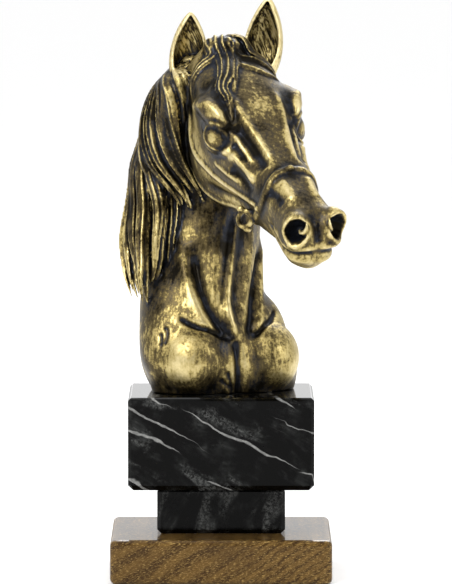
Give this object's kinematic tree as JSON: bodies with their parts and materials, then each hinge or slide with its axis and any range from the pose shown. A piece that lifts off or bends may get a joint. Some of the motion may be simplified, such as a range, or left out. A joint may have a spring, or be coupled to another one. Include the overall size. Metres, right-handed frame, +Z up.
{
  "type": "horse trophy",
  "caption": "Cast bust of a haltered horse with a long mane, in antique gold, on two stacked black marble blocks and a walnut base.",
  "frame": {"origin": "centre of the wood base's underside, which rests on the table", "axes": "+Z up; the base's front faces -Y and +X is to the right of someone looking at the front"},
  "size_m": [0.105, 0.1517, 0.2624],
  "materials": {
    "antique_gold_casting": "cast resin, black with gold rubbed over the high places, satin",
    "black_marble": "polished black stone with pale veins",
    "walnut": "satin lacquered walnut"
  },
  "bodies": {
    "root": {"horse_bust": "antique_gold_casting", "upper_marble_block": "black_marble", "lower_marble_block": "black_marble", "wood_base": "walnut"}
  },
  "joints": []
}
